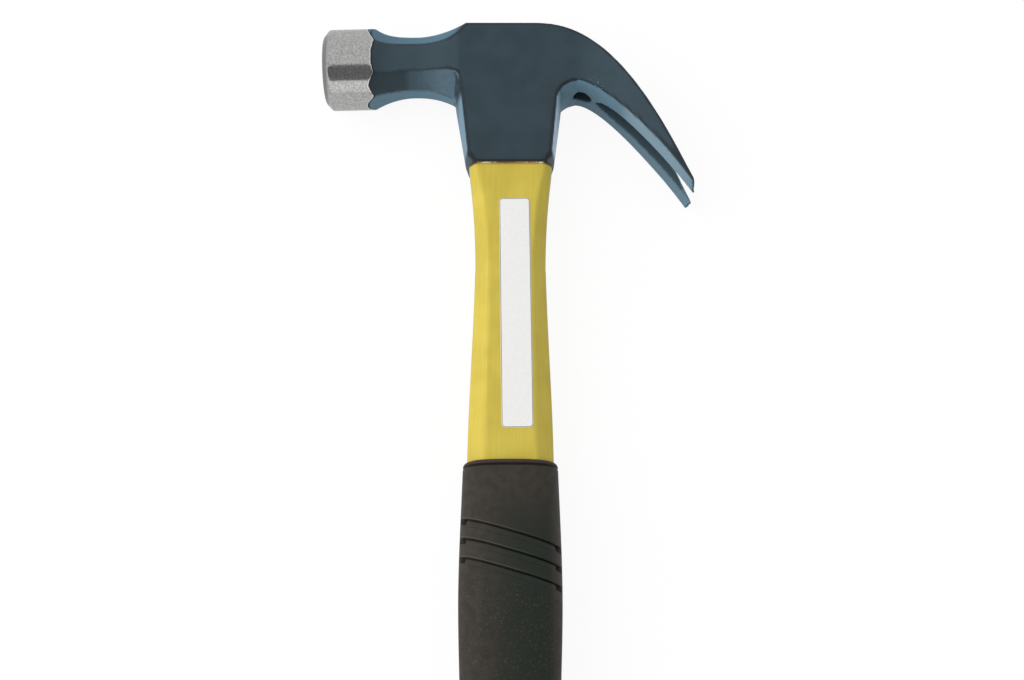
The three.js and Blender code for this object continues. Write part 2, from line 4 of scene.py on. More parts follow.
import bpy
import numpy as np
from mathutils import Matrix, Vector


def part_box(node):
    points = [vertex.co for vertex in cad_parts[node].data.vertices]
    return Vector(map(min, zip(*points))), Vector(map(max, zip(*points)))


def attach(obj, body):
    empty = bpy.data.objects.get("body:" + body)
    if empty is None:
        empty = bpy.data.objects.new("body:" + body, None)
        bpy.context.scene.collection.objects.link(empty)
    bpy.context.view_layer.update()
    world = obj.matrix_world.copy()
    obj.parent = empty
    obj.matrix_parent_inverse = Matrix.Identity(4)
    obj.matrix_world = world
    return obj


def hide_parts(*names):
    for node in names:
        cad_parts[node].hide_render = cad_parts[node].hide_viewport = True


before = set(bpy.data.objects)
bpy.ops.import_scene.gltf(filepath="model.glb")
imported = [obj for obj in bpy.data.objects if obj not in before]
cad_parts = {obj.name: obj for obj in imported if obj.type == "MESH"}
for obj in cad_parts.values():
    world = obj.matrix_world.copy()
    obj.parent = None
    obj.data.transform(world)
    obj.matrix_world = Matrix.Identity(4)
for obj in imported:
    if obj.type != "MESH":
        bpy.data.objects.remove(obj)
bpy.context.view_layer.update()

mm = 0.001

# The hammer's own frame, in mm: x from the handle's axis, y from the head's lower rim,
# z from the middle plane
tenonTop = 50.6
handleLow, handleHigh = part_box("handle")
hammerOrigin = np.array([
    (handleLow.x + handleHigh.x) / 2,
    handleHigh.y - tenonTop * mm,
    (handleLow.z + handleHigh.z) / 2,
])


def place(points):
    # from mm in the hammer's frame to metres in the row's frame
    return hammerOrigin + np.asarray(points, float) * mm


def addObject(name, data):
    made = bpy.data.objects.new(name, data)
    bpy.context.scene.collection.objects.link(made)
    return made


# Camera

cameraSet = {
    "aim": (0.5, -59.6, 0),
    "distance": 500,
    "tilt": 17,  # degrees off straight down, towards the butt
    "lens": 53.5,
}


def addCamera():
    tilt = math.radians(cameraSet["tilt"])
    back = np.array([0, -math.sin(tilt), math.cos(tilt)]) * cameraSet["distance"]
    camera = addObject("camera", bpy.data.cameras.new("camera"))
    camera.location = place(np.array(cameraSet["aim"]) + back)
    camera.rotation_euler = (tilt, 0, 0)
    camera.data.lens = cameraSet["lens"]
    camera.data.clip_start = 0.01
    bpy.context.scene.camera = camera


addCamera()
print("camera placed")


# Meshes from grids

def makePiece(name, points, faces, replaced):
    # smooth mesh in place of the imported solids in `replaced`
    mesh = bpy.data.meshes.new(name)
    mesh.from_pydata(points.tolist(), [], faces)
    mesh.update()
    mesh.polygons.foreach_set("use_smooth", np.full(len(mesh.polygons), True))
    piece = addObject(name, mesh)
    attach(piece, "root")
    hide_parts(*replaced)
    return piece


def putAttribute(mesh, name, values):
    mesh.attributes.new(name, "FLOAT", "POINT").data.foreach_set("value", values.astype(np.float32))


def gridFaces(rows, columns, closeRows=False):
    # quads between neighbouring rows; the columns always run round
    count = rows if closeRows else rows - 1
    row, column = np.meshgrid(np.arange(count), np.arange(columns), indexing="ij")
    nextRow = (row + 1) % rows
    nextColumn = (column + 1) % columns
    corners = [
        row * columns + column,
        row * columns + nextColumn,
        nextRow * columns + nextColumn,
        nextRow * columns + column,
    ]
    return np.stack(corners, axis=-1).reshape(-1, 4).tolist()


def capFaces(start, columns, pole, flipped):
    # fan from one ring to its pole point
    ring = start + np.arange(columns)
    after = start + (np.arange(columns) + 1) % columns
    poles = np.full(columns, pole)
    fan = (after, ring, poles) if flipped else (ring, after, poles)
    return np.stack(fan, axis=-1).tolist()


def closedGrid(grid):
    # grid of rings, closed by fans to the mean point of its first ring and of its last
    rows, columns = grid.shape[:2]
    points = np.concatenate([grid.reshape(-1, 3), grid[:1].mean(axis=1), grid[-1:].mean(axis=1)])
    faces = gridFaces(rows, columns)
    faces += capFaces(0, columns, rows * columns, True)
    faces += capFaces((rows - 1) * columns, columns, rows * columns + 1, False)
    return points, faces


def turns(columns):
    # angles round a section, from +x over +z
    return np.arange(columns) * 2 * np.pi / columns


def smoothStep(value, low, high):
    # 0 at low, 1 at high and three squares less two cubes between; low may be the larger
    share = np.clip((value - low) / (high - low), 0, 1)
    return share * share * (3 - 2 * share)


def through(places, values, y):
    # cubic through the stations, each tangent taken from the two neighbours
    order = np.argsort(places)
    at = np.array(places, float)[order]
    v = np.array(values, float)[order]
    slope = np.gradient(v, at)
    i = np.clip(np.searchsorted(at, y) - 1, 0, len(at) - 2)
    span = at[i + 1] - at[i]
    t = np.clip((y - at[i]) / span, 0, 1)
    a = (1 + 2 * t) * (1 - t) ** 2 * v[i]
    b = t * (1 - t) ** 2 * span * slope[i]
    c = t * t * (3 - 2 * t) * v[i + 1]
    d = t * t * (t - 1) * span * slope[i + 1]
    return a + b + c + d


# Shader helpers

class Graph:
    # a node tree and short calls that add to it

    def __init__(self, tree):
        self.tree = tree

    def add(self, kind, **values):
        # one node; a value goes to the node's own setting of that name, or else to its input
        made = self.tree.nodes.new(kind)
        for key, value in values.items():
            if hasattr(made, key):
                setattr(made, key, value)
            else:
                made.inputs[key.replace("_", " ")].default_value = value
        return made

    def link(self, start, end):
        self.tree.links.new(start, end)

    def put(self, sockets, values):
        # each value into its socket: a link, a colour without its alpha, or a number
        for socket, value in zip(sockets, values):
            if isinstance(value, bpy.types.NodeSocket):
                self.link(value, socket)
            elif isinstance(value, tuple):
                socket.default_value = (*value, 1)
            else:
                socket.default_value = value

    def math(self, operation, *values):
        made = self.add("ShaderNodeMath", operation=operation)
        self.put(made.inputs, values)
        return made.outputs["Value"]

    def times(self, product, *others):
        for other in others:
            product = self.math("MULTIPLY", product, other)
        return product

    def mix(self, factor, a, b, kind="RGBA"):
        # only the sockets of the mix node's own kind are enabled
        made = self.add("ShaderNodeMix", data_type=kind)
        self.put([socket for socket in made.inputs if socket.enabled], (factor, a, b))
        return [socket for socket in made.outputs if socket.enabled][0]

    def ramp(self, value, low, high, start=0.0, end=1.0):
        # smoothly from start to end, as the value goes from low to high
        made = self.add("ShaderNodeMapRange", interpolation_type="SMOOTHSTEP")
        self.put(made.inputs, (value, low, high, start, end))
        return made.outputs["Result"]


def makeGroup(name, inputs, outputs):
    # an empty shader group with sockets of these names and kinds: its graph, inputs and outputs
    tree = bpy.data.node_groups.new(name, "ShaderNodeTree")
    for way, sockets in (("INPUT", inputs), ("OUTPUT", outputs)):
        for socket, kind in sockets.items():
            tree.interface.new_socket(socket, in_out=way, socket_type="NodeSocket" + kind)
    given = tree.nodes.new("NodeGroupInput")
    result = tree.nodes.new("NodeGroupOutput")
    return Graph(tree), given.outputs, result.inputs


def makeGrainGroup():
    # grain: noise as a mask, and the same noise as a height of so many metres
    graph, given, result = makeGroup(
        "grain",
        {"Vector": "Vector", "Scale": "Float", "Detail": "Float", "Depth": "Float", "Normal": "Vector"},
        {"Mask": "Float", "Normal": "Vector"},
    )
    noise = graph.add("ShaderNodeTexNoise", Roughness=0.55)
    bump = graph.add("ShaderNodeBump", Strength=1.0)
    for name in ("Vector", "Scale", "Detail"):
        graph.link(given[name], noise.inputs[name])
    graph.link(noise.outputs["Fac"], bump.inputs["Height"])
    graph.link(given["Depth"], bump.inputs["Distance"])
    graph.link(given["Normal"], bump.inputs["Normal"])
    graph.put(result, (noise.outputs["Fac"], bump.outputs["Normal"]))
    return graph.tree


def makeMottleGroup():
    # mottle: two colours mixed by stretched contrast of a mask
    graph, given, result = makeGroup(
        "mottle",
        {"Mask": "Float", "Low": "Float", "High": "Float", "Dark": "Color", "Light": "Color"},
        {"Color": "Color"},
    )
    share = graph.ramp(given["Mask"], given["Low"], given["High"])
    graph.link(graph.mix(share, given["Dark"], given["Light"]), result["Color"])
    return graph.tree


grainGroup = makeGrainGroup()
mottleGroup = makeMottleGroup()


class Finish(Graph):
    # a material under construction: one Principled shader and short calls that feed it

    def __init__(self, name, **values):
        self.material = bpy.data.materials.new(name)
        self.material.use_nodes = True
        super().__init__(self.material.node_tree)
        self.shader = self.tree.nodes["Principled BSDF"]
        for key, value in values.items():
            self.shader.inputs[key.replace("_", " ")].default_value = value
        coordinates = self.add("ShaderNodeTexCoord")
        mapping = self.add("ShaderNodeMapping", Scale=(1 / mm,) * 3)
        mapping.inputs["Location"].default_value = tuple(-hammerOrigin / mm)
        self.link(coordinates.outputs["Object"], mapping.inputs["Vector"])
        self.mm = mapping.outputs["Vector"]

    def feed(self, start, socket):
        self.link(start, self.shader.inputs[socket])

    def axes(self):
        # x, y and z in mm in the hammer's frame
        parts = self.add("ShaderNodeSeparateXYZ")
        self.link(self.mm, parts.inputs["Vector"])
        return parts.outputs

    def stretched(self, scale):
        mapping = self.add("ShaderNodeMapping", Scale=scale)
        self.link(self.mm, mapping.inputs["Vector"])
        return mapping.outputs["Vector"]

    def distance(self, place):
        # distance in mm from a place in the hammer's frame
        made = self.add("ShaderNodeVectorMath", operation="DISTANCE")
        made.inputs[1].default_value = place
        self.link(self.mm, made.inputs[0])
        return made.outputs["Value"]

    def attribute(self, name):
        return self.add("ShaderNodeAttribute", attribute_name=name).outputs["Fac"]

    def grain(self, scale, depth=0.0, detail=3.0, vector=None, after=None):
        # mask and normal of noise with `scale` grains for each mm, `depth` mm deep
        made = self.add("ShaderNodeGroup", node_tree=grainGroup)
        self.put(made.inputs, (vector or self.mm, scale, detail, depth * mm))
        if after:
            self.link(after, made.inputs["Normal"])
        return made.outputs["Mask"], made.outputs["Normal"]

    def mottle(self, mask, dark, light, low=0.35, high=0.65):
        made = self.add("ShaderNodeGroup", node_tree=mottleGroup)
        self.put(made.inputs, (mask, low, high, dark, light))
        return made.outputs["Color"]


# Head

head = {
    "voxel": 0.47,  # size of the cells it is rebuilt on
    "weld": 0.001,
    "smoothing": 5,
    "smoothingShares": (0.5, -0.35),  # of the way to the neighbours, and back
    "pollRadius": 13.9,
    "pollAxisHeight": 38.6,
    "pollDroop": 1.6,
    "flareX": -46.5,
    "flareReach": (-7, 8),  # stretch along the poll's axis in which the paint's edge is looked for
    "angleSteps": 72,
    "paintEdge": 0.11,  # depth below the turned surface at which a facet counts as left by the lathe
    "paintAngles": (-90, -67.5, -48.75, -30, 20, 62, 90),  # degrees round the poll, from mid-height up
    "paintReach": (1.0, 0, 0.9, 0, 0, 1.9, 1.9),  # how far the paint runs on over the turned surface there
    "pocket": (24.7, 3.1),  # x of its axis and radius
    "pocketEdge": (-0.1, 0.3),
    # masks of parts of the head
    "neckX": (-17, -19),
    "clawsX": (15, 18),
    "hookX": (8, 14),  # inside of the hook: along x, and off the middle plane
    "hookZ": (6, 4),
    "hookTilt": 20,
    "rimY": (5, 2.5),
    "crownSlope": (0.45, 0.15),  # of the normal along y, which leaves out the crown
    "upperCornerY": (22, 26),
    # steep faces, which get a painted reflection in the paint's colour: degrees off the cheek's plane,
    # across the neck and elsewhere
    "upperStrip": (28, 38),
    "lowerStrip": (-60, -67),
    "steepTilt": (38, 52),
    "steepReflection": (0.082, 0.176, 0.236),
    # pale painted reflection: on faces that look along x, the middle of the upper claw, and what looks down
    "paleReflection": (0.66, 0.83, 0.98),
    "sideways": (0.8, 0.95),
    "sideReflection": (0.17, 1.0),  # at the left and at the right
    "clawPaleX": (34, 42),
    "clawFadeX": (52, 64),
    "clawFade": 0.55,
    "upperClawZ": (1, 2),
    "clawReflection": 0.26,
    "downward": (-0.2, -0.5),
    "downReflection": 0.09,
    # painted light: on the neck's front slope, its lower slope towards the cheek, and the claws' sides
    "paintLit": (0.09, 0.155, 0.2),
    "frontSlope": (27, 20),
    "frontLit": 0.16,
    "lowerSlope": (-24, -34),
    "lowerEndX": (-15, -16),
    "lowerLit": ((-36.5, -34, 0.3), (-34, -21, 0.75)),  # two steps in x, each with its share
    "clawLitX": (20, 34),
    "clawLit": 0.2,
    # dull paint, without sheen: half of the rim, the pocket, the hollow by the neck, some of what is steep
    "rimDull": 0.5,
    "steepDull": 0.3,
    "hollowY": (21, 24),
    "hollowX": (-21, -19),
    "hollowFacing": (-0.4, -0.7),
    "paint": (0.024, 0.045, 0.058),
    "paintLight": (0.03, 0.054, 0.07),
    "paintRoughness": 0.4,
    "sheen": 0.35,
    "sheenRoughness": 0.35,
    "sheenTint": (0.3, 0.6, 1.0),
    "gloss": 0.35,
    "steepGloss": 0.08,
    "patches": 0.09,  # grains for each mm
    "skin": (2.6, 0.008),  # grains for each mm, and their depth
    "streaks": 0.8,
    "streakShades": (0.2, 0.6, 0.7, 1.0),
    "gritPlace": (27.5, 25.5, 8.5),  # middle of the coarse paint at the claws' root
    "gritReach": (7.5, 3),
    "grit": (2.2, 0.11),
    "gritSpecks": (0.6, 0.68),
    # light specks on the coarse paint, painted glints
    "gritGlints": (0.2, 0.31, 0.36),
    # painted highlight along the hook's edges and painted shade along other edges and creases: how far they
    # bend in mm as they set in, and their shares there
    "edgeHighlight": (0.024, 0.06, 0.0, 0.6),
    "edgeHighlightColour": (0.16, 0.28, 0.36),
    "edgeShade": (0.008, 0.027, 0.0, 0.75),
    "lineShade": (0.01, 0.014, 0.018),
    # distances past the line where the paint starts: bare steel, a painted highlight on the steel's edge and
    # painted shade at the paint's edge
    "bareSteel": (0.04, -0.04),
    "steelHighlightReach": (-0.42, -0.15),
    "lineStart": (0.0, 0.08),
    "lineEnd": (0.62, 0.38),
    "steelDark": (0.46,) * 3,
    "steelLight": (0.7, 0.7, 0.69),
    "steelHighlight": (0.86, 0.86, 0.85),
    "steelRoughness": 0.15,
    "speckle": (1.7, 0.004),
    "speckleRange": (0.34, 0.66),
    "faceX": (-62.0, -62.9),  # where the painted shade on the struck face starts
    "paintedFaceShade": 0.46,
}


def mergedCopy(name, source):
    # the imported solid, welded and rebuilt as even cells
    made = addObject(name, source.data.copy())
    weld = made.modifiers.new("weld", "WELD")
    weld.merge_threshold = head["weld"] * mm
    remesh = made.modifiers.new("remesh", "REMESH")
    remesh.mode = "VOXEL"
    remesh.voxel_size = head["voxel"] * mm
    bpy.context.view_layer.update()
    shaped = made.evaluated_get(bpy.context.evaluated_depsgraph_get())
    mesh = bpy.data.meshes.new_from_object(shaped)
    bpy.data.objects.remove(made)
    return mesh


def neighbourMeans(points, edges):
    # for each point, the mean of the points that an edge joins to it
    total = np.zeros_like(points)
    for own, other in (edges.T, edges.T[::-1]):
        for axis in range(3):
            total[:, axis] += np.bincount(own, points[other, axis], len(points))
    return total / np.bincount(edges.ravel(), minlength=len(points))[:, None]


def relaxed(points, edges, rounds):
    # each round moves every point part of the way to the mean of its neighbours, and then a little back
    for share in head["smoothingShares"] * rounds:
        points = points + (neighbourMeans(points, edges) - points) * share
    return points


def convexity(points, edges, normals):
    # how far each point stands out from the mean of its neighbours along its normal, in mm
    return ((points - neighbourMeans(points, edges)) * normals).sum(axis=1) / mm


def fromPaint(points):
    # distance in mm along the poll's axis past the line where the paint starts, negative on bare steel:
    # that line is the first place, at each angle round the poll, that lies below the turned surface
    own = (points - hammerOrigin) / mm
    droop = math.radians(head["pollDroop"])
    along = own[:, 0] - head["flareX"]
    rise = own[:, 1] - head["pollAxisHeight"]
    off = rise * math.cos(droop) - along * math.sin(droop)
    past = along * math.cos(droop) + rise * math.sin(droop)
    inside = head["pollRadius"] - np.hypot(off, own[:, 2])
    angle = np.degrees(np.arctan2(off, np.abs(own[:, 2])))
    bins = head["angleSteps"]
    at = np.clip(((angle + 90) / 180 * bins).astype(int), 0, bins - 1)
    low, high = head["flareReach"]
    facet = (inside > head["paintEdge"]) & (past > low) & (past < high)
    start = np.full(bins, float(high))
    np.minimum.at(start, at[facet], past[facet])
    middles = (np.arange(bins) + 0.5) / bins * 180 - 90
    line = np.interp(angle, middles, start) - np.interp(angle, head["paintAngles"], head["paintReach"])
    return np.clip(past - line, -2, 2)


def headMask(value, name):
    # 0 at the first number of that name, 1 at the second
    return smoothStep(value, *head[name])


def paintShares(points, normals, bend):
    # shares from 0 to 1 of the painted reflection and painted light on the paint, and how far the edges with
    # a painted highlight and painted shade bend in mm
    own = (points - hammerOrigin) / mm
    x, y, z = own[:, 0], own[:, 1], np.abs(own[:, 2])
    nx, ny, nz = normals[:, 0], normals[:, 1], np.abs(normals[:, 2])
    neck = headMask(x, "neckX")
    claws = headMask(x, "clawsX")
    hook = headMask(x, "hookX") * headMask(z, "hookZ")
    rim = headMask(y, "rimY") * (1 - claws)
    pocketX, pocketRadius = head["pocket"]
    outside = headMask(np.hypot(x - pocketX, z) - pocketRadius, "pocketEdge")
    # steep faces: painted reflection, and less gloss
    slope = np.degrees(np.arctan2(ny, nz))
    strips = np.maximum(headMask(slope, "upperStrip"), headMask(slope, "lowerStrip"))
    tilt = np.degrees(np.arccos(np.clip(nz, 0, 1))) - head["hookTilt"] * hook
    walls = headMask(tilt, "steepTilt") * headMask(ny, "crownSlope") * (1 - rim) * outside
    walls = walls * (1 - headMask(y, "upperCornerY") * (1 - claws))
    steep = neck * strips + (1 - neck) * walls
    # pale painted reflection
    across = headMask(np.abs(nx) / np.maximum(np.hypot(nx, ny), 0.001), "sideways")
    across = across * np.where(nx < 0, *head["sideReflection"]) * (1 - neck) * (1 - claws)
    claw = headMask(x, "clawPaleX") * (1 - head["clawFade"] * headMask(x, "clawFadeX"))
    claw = claw * headMask(own[:, 2], "upperClawZ") * head["clawReflection"]
    down = headMask(ny, "downward") * head["downReflection"]
    # painted light
    front = neck * headMask(np.abs(slope), "frontSlope") * head["frontLit"]
    lower = sum(share * smoothStep(x, low, high) for low, high, share in head["lowerLit"])
    lower = lower * headMask(x, "lowerEndX") * headMask(slope, "lowerSlope")
    side = headMask(x, "clawLitX") * head["clawLit"]
    # dull
    hollow = headMask(y, "hollowY") * headMask(x, "hollowX") * (1 - claws)
    hollow = hollow * headMask(nx, "hollowFacing")
    return {
        "steep": steep,
        "paleReflectionShare": steep * np.maximum.reduce([across, claw, down]),
        "lit": np.maximum.reduce([front, lower, side]),
        "dull": np.maximum.reduce([rim * head["rimDull"], 1 - outside, hollow, steep * head["steepDull"]]),
        "edgeHighlight": bend * hook,
        # painted shade along edges and creases; on the claws only along convex edges
        "edgeShade": np.where(x > 0, bend, np.abs(bend)) * (1 - hook),
    }


def readRows(items, name, columns, kind=float):
    values = np.zeros(len(items) * columns, kind)
    items.foreach_get(name, values)
    return values.reshape(-1, columns)


def makeHead():
    mesh = mergedCopy("headForged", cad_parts["head"])
    edges = readRows(mesh.edges, "vertices", 2, np.int32)
    points = relaxed(readRows(mesh.vertices, "co", 3), edges, head["smoothing"])
    mesh.vertices.foreach_set("co", points.ravel())
    mesh.polygons.foreach_set("use_smooth", np.full(len(mesh.polygons), True))
    mesh.materials.clear()
    mesh.update()
    normals = readRows(mesh.vertex_normals, "vector", 3)
    putAttribute(mesh, "fromPaint", fromPaint(points))
    for name, values in paintShares(points, normals, convexity(points, edges, normals)).items():
        putAttribute(mesh, name, values)
    mesh.update()

    piece = addObject("headForged", mesh)
    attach(piece, "root")
    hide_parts("head")
    return piece


def headFinish():
    made = Finish(
        "paintedHead",
        Sheen_Roughness=head["sheenRoughness"],
        Sheen_Tint=(*head["sheenTint"], 1),
    )
    # paint: slow patches, a fine skin, painted light and painted reflection on slopes and steep faces,
    # coarser grains near the claws' root
    patches, _ = made.grain(head["patches"])
    _, skin = made.grain(*head["skin"])
    coarse = made.ramp(made.distance(head["gritPlace"]), *head["gritReach"])
    grit, gritNormal = made.grain(*head["grit"], detail=4, after=skin)
    skin = made.mix(coarse, skin, gritNormal, "VECTOR")
    paint = made.mottle(patches, head["paint"], head["paintLight"])
    streaks, _ = made.grain(head["streaks"], detail=4)
    # painted light on the neck's slopes and the claws' sides, streaked
    lit = made.times(made.attribute("lit"), made.ramp(streaks, *head["streakShades"]))
    paint = made.mix(lit, paint, head["paintLit"])
    steep = made.attribute("steep")
    # painted reflection on the steep faces
    paint = made.mix(steep, paint, head["steepReflection"])
    # pale painted reflection on walls, the upper claw and what looks down
    paint = made.mix(made.attribute("paleReflectionShare"), paint, head["paleReflection"])
    # painted highlight along the hook's edges, painted shade along the other edges and creases
    for edge, colour in (("edgeHighlight", "edgeHighlightColour"), ("edgeShade", "lineShade")):
        paint = made.mix(made.ramp(made.attribute(edge), *head[edge]), paint, head[colour])
    # painted glints on the coarse paint
    specks = made.times(coarse, made.ramp(grit, *head["gritSpecks"]))
    paint = made.mix(specks, paint, head["gritGlints"])
    fromPaint = made.attribute("fromPaint")
    # painted shade along the paint's edge
    line = made.times(made.ramp(fromPaint, *head["lineStart"]), made.ramp(fromPaint, *head["lineEnd"]))
    paint = made.mix(line, paint, head["lineShade"])
    # steel: speckled after the lathe, with painted shade on the face and a painted highlight along its edge
    # where the paint starts
    speckle, speckleNormal = made.grain(*head["speckle"], detail=4)
    steel = made.mottle(speckle, head["steelDark"], head["steelLight"], *head["speckleRange"])
    face = made.ramp(made.axes()["X"], *head["faceX"])
    steel = made.mix(face, steel, tuple(head["paintedFaceShade"] * v for v in head["steelLight"]))
    # painted highlight on the steel's edge where the paint starts
    steel = made.mix(made.ramp(fromPaint, *head["steelHighlightReach"]), steel, head["steelHighlight"])
    bare = made.ramp(fromPaint, *head["bareSteel"])
    made.feed(made.mix(bare, paint, steel), "Base Color")
    made.feed(bare, "Metallic")
    dull = made.math("MAXIMUM", bare, made.attribute("dull"))
    made.feed(made.ramp(dull, 0, 1, head["sheen"], 0.0), "Sheen Weight")
    made.feed(made.mix(steep, head["gloss"], head["steepGloss"], "FLOAT"), "Specular IOR Level")
    made.feed(made.mix(bare, head["paintRoughness"], head["steelRoughness"], "FLOAT"), "Roughness")
    made.feed(made.mix(bare, skin, speckleNormal, "VECTOR"), "Normal")
    return made.material


headPiece = makeHead()
headPiece.data.materials.append(headFinish())
print("head made,", len(headPiece.data.polygons), "faces")


# Handle

handle = {
    "columns": 200,
    "rows": 150,
    "halfThickness": 8.8,
    "sideFlat": 3.6,
    "shoulderSideFlat": 6,
    "shoulderHalfWidth": 13.9,
    "waistHalfWidth": 11.65,
    "waistY": -37,
    "shoulderCurve": 1.9,  # the higher, the later it widens towards the shoulder
    "lowerSpread": (-0.15, 1.1),
    "gripHalfWidth": 13.9,
    "topFlat": 11.6,
    "waistFlat": 7.3,
    "gripFlat": 8.6,
    "edgeFall": 2.2,
    "shoulderY": -1.0,
    "shownTop": -0.45,  # the bar is drawn up to the bead
    "gripTop": -101.6,
    "tangHalfWidth": 11.5,
    "tangHalfThickness": 7.5,
    "tangTaper": (4, 22),
    "tangEnd": -266.4,
    "tangRings": 9,
    "crispness": 42,  # the higher, the sharper the edges between facets
    "tenon": (10.2, 5.7),
    "tenonChamfer": (0.3, 0.4),
    "eye": (11.8, 7.2),
    "eyeFlare": 0.5,
    "eyeFlats": (0.72, 0.4),
    "eyeCrispness": 40,
    "threads": (1.0, 0.006),  # grains for each mm, and their depth
    "threadStretch": (2.6, 0.05, 2.6),
    "threadShades": (0.25, 0.75, 0.94, 1.05),
    "clouds": 0.07,
    "waves": (0.22, 0.1),
    "light": (0.69, 0.552, 0.082),
    "dark": (0.632, 0.5, 0.07),
    "roughness": 0.33,
    "gloss": 0.25,
}


def handleSizes(y):
    # half width, half thickness, half width of the front facet, half height of the side facet
    y = np.asarray(y, float)
    shown = np.maximum(y, handle["gripTop"])
    above = shown > handle["waistY"]
    upper = handle["shoulderY"] - handle["waistY"]
    lower = handle["waistY"] - handle["gripTop"]
    share = np.clip(np.abs(shown - handle["waistY"]) / np.where(above, upper, lower), 0, 1)
    spread = np.where(above, share ** handle["shoulderCurve"], smoothStep(share, *handle["lowerSpread"]))
    goal = np.where(above, handle["shoulderHalfWidth"], handle["gripHalfWidth"])
    width = handle["waistHalfWidth"] + (goal - handle["waistHalfWidth"]) * spread
    flatGoal = np.where(above, handle["topFlat"], handle["gripFlat"])
    flat = handle["waistFlat"] + (flatGoal - handle["waistFlat"]) * share ** 2
    rise = handle["shoulderSideFlat"] - handle["sideFlat"]
    side = handle["sideFlat"] + rise * np.where(above, share, 0) ** 2
    taper = smoothStep(handle["gripTop"] - y, *handle["tangTaper"])
    width = width + (handle["tangHalfWidth"] - width) * taper
    thickness = handle["halfThickness"] + (handle["tangHalfThickness"] - handle["halfThickness"]) * taper
    return width, thickness, np.minimum(flat, width - handle["edgeFall"]), side


def facetReach(width, thickness, flat, side, angles, crispness):
    # distance from the axis to an eight-sided outline: the distances to three facets, each raised to minus
    # `crispness`, summed, and the sum raised to minus one over it; the slanting facet is the line from
    # (width, side) to (flat, thickness)
    across, up = np.abs(np.cos(angles)), np.abs(np.sin(angles))
    slantX, slantZ = thickness - side, width - flat
    reach = slantX * width + slantZ * side
    parts = (across / width) ** crispness + (up / thickness) ** crispness
    parts = parts + ((across * slantX + up * slantZ) / reach) ** crispness
    return parts ** (-1 / crispness)


def eightSided(width, thickness, flat, side, angles, crispness):
    # the same outline for a row of sections: one row of distances for each
    sizes = (np.atleast_1d(v)[:, None] for v in (width, thickness, flat, side))
    return facetReach(*sizes, angles[None], crispness)


def ovalReach(halfLength, halfWidth, angles):
    # the eye and the tenon: the same eight-sided outline in their own proportions
    flat = halfLength * handle["eyeFlats"][0]
    side = halfWidth * handle["eyeFlats"][1]
    return eightSided(halfLength, halfWidth, flat, side, angles, handle["eyeCrispness"])


def rings(y, reach, angles):
    # points at distances `reach` from the axis, x by the cosine and z by the sine, at heights y
    y = np.broadcast_to(y, reach.shape)
    return np.stack([reach * np.cos(angles), y, reach * np.sin(angles)], axis=-1)


def makeHandle():
    # eight-sided rings from the tang's end up to the bead, then the tenon's rings with a chamfered end
    angles = -turns(handle["columns"])
    shown = np.linspace(handle["gripTop"], handle["shownTop"], handle["rows"])
    tang = handle["gripTop"] - handle["tangTaper"][1] * (1 - np.linspace(0, 1, handle["tangRings"])[:-1])
    heights = np.concatenate([[handle["tangEnd"]], tang, shown])
    body = rings(heights[:, None], eightSided(*handleSizes(heights), angles, handle["crispness"]), angles)
    tenonReach = ovalReach(*handle["tenon"], angles)
    chamferIn, chamferDown = handle["tenonChamfer"]
    tenonHeights = np.array([handle["shownTop"], tenonTop - chamferDown, tenonTop])
    tenonReaches = np.concatenate([tenonReach, tenonReach, tenonReach - chamferIn])
    tenon = rings(tenonHeights[:, None], tenonReaches, angles)
    points, faces = closedGrid(np.concatenate([body, tenon]))
    return makePiece("handleBar", place(points), faces, ["handle"])


def handleFinish():
    made = Finish("yellowFibreglass", Roughness=handle["roughness"], Specular_IOR_Level=handle["gloss"])
    lengthwise = made.stretched(handle["threadStretch"])
    threads, threadNormal = made.grain(*handle["threads"], detail=4, vector=lengthwise)
    clouds, _ = made.grain(handle["clouds"], detail=2)
    base = made.mottle(clouds, handle["dark"], handle["light"])
    fibre = made.ramp(threads, *handle["threadShades"])
    shade = made.add("ShaderNodeVectorMath", operation="SCALE")
    made.link(base, shade.inputs[0])
    made.link(fibre, shade.inputs["Scale"])
    made.feed(shade.outputs[0], "Base Color")
    _, waves = made.grain(*handle["waves"], detail=1, after=threadNormal)
    made.feed(waves, "Normal")
    return made.material


makeHandle().data.materials.append(handleFinish())
print("handle made")


# Resin round the tenon

resin = {
    "columns": 300,
    "beadTop": -0.03,
    "beadLow": -0.36,
    "fillet": 0.7,  # how far the bead reaches out over the rim's underside, in front and behind
    "filletShare": 0.55,
    "frontFrom": (0.3, 0.62),  # sines of the angles between which it does so
    "unevenness": 0.28,
    "step": 0.3,
    "lap": 0.08,  # how far the bead stands out past the handle everywhere
    "lowRipple": 0.1,
    "bulge": 0.05,
    "tenonGap": 0.02,
    "eyeGap": 0.05,
    "sleeveTop": 50.1,
    "sleeveDish": 0.35,
    "amber": (0.44, 0.225, 0.085),
    "brown": (0.23, 0.12, 0.06),
    "cream": (0.72, 0.66, 0.5),
    # distances from the middle between which cream lumps set in and end, and the dark corner sets in
    "creamFrom": (4, 7),
    "creamEnd": (11.2, 10.4),
    "creamRange": (0.5, 0.56),
    "cornerFrom": (10.6, 11.6),
    "blobs": (0.3, 0.03),  # grains for each mm, and their depth
    "blobRange": (0.4, 0.6),
    "lumps": 0.42,
    "lumpStretch": (1.0, 1.0, 0.6),
    "roughness": 0.35,
    "corner": (0.06, 0.042, 0.036),
}


def ripple(angles, seed, lowest=3, count=14):
    # sum of sines round the section, with seeded weights and phases, scaled to about plus or minus one
    random = np.random.default_rng(seed)
    waves = np.arange(lowest, lowest + count)[:, None]
    weights = random.uniform(0.4, 1.0, (count, 1)) / np.sqrt(waves)
    phases = random.uniform(0, 2 * np.pi, (count, 1))
    return (weights * np.sin(waves * angles + phases)).sum(axis=0) / weights.sum() * 2.2


